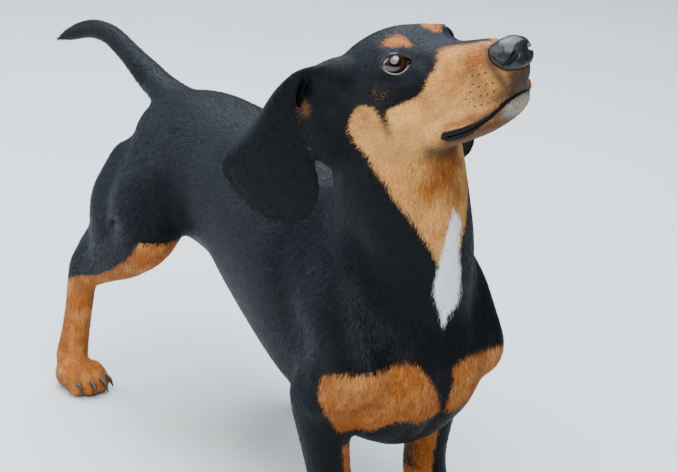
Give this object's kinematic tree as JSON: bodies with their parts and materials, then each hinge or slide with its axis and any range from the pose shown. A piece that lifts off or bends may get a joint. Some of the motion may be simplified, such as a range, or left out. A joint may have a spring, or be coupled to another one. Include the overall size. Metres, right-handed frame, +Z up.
{
  "type": "dachshund",
  "caption": "Standing smooth-haired dachshund, black and tan with a white blaze on the chest, its head raised and turned a little to its left.",
  "frame": {"origin": "on the floor under the middle of the dog's bounding box", "axes": "+Z up, -Y the way the body faces, +X the dog's left side"},
  "size_m": [0.2033, 0.6461, 0.402],
  "materials": {
    "torso_coat": "short flat black coat",
    "neck_coat": "short flat black coat",
    "head_coat": "short flat black coat",
    "tail_coat": "short flat black coat",
    "ear_left_coat": "short flat black coat",
    "ear_right_coat": "short flat black coat",
    "eye_left_ball": "wet gloss",
    "eye_right_ball": "wet gloss",
    "nose_leather": "moist satin",
    "foreleg_left_coat": "short flat black coat",
    "foreleg_right_coat": "short flat black coat",
    "hindleg_left_coat": "short flat black coat",
    "hindleg_right_coat": "short flat black coat",
    "forepaw_left_coat": "short flat tan coat",
    "forepaw_right_coat": "short flat tan coat",
    "hindpaw_left_coat": "short flat tan coat",
    "hindpaw_right_coat": "short flat tan coat"
  },
  "bodies": {
    "root": {"torso": "torso_coat", "neck": "neck_coat", "head": "head_coat", "tail": "tail_coat", "ear_left": "ear_left_coat", "ear_right": "ear_right_coat", "eye_left": "eye_left_ball", "eye_right": "eye_right_ball", "nose": "nose_leather", "foreleg_left": "foreleg_left_coat", "foreleg_right": "foreleg_right_coat", "hindleg_left": "hindleg_left_coat", "hindleg_right": "hindleg_right_coat", "forepaw_left": "forepaw_left_coat", "forepaw_right": "forepaw_right_coat", "hindpaw_left": "hindpaw_left_coat", "hindpaw_right": "hindpaw_right_coat"}
  },
  "joints": []
}
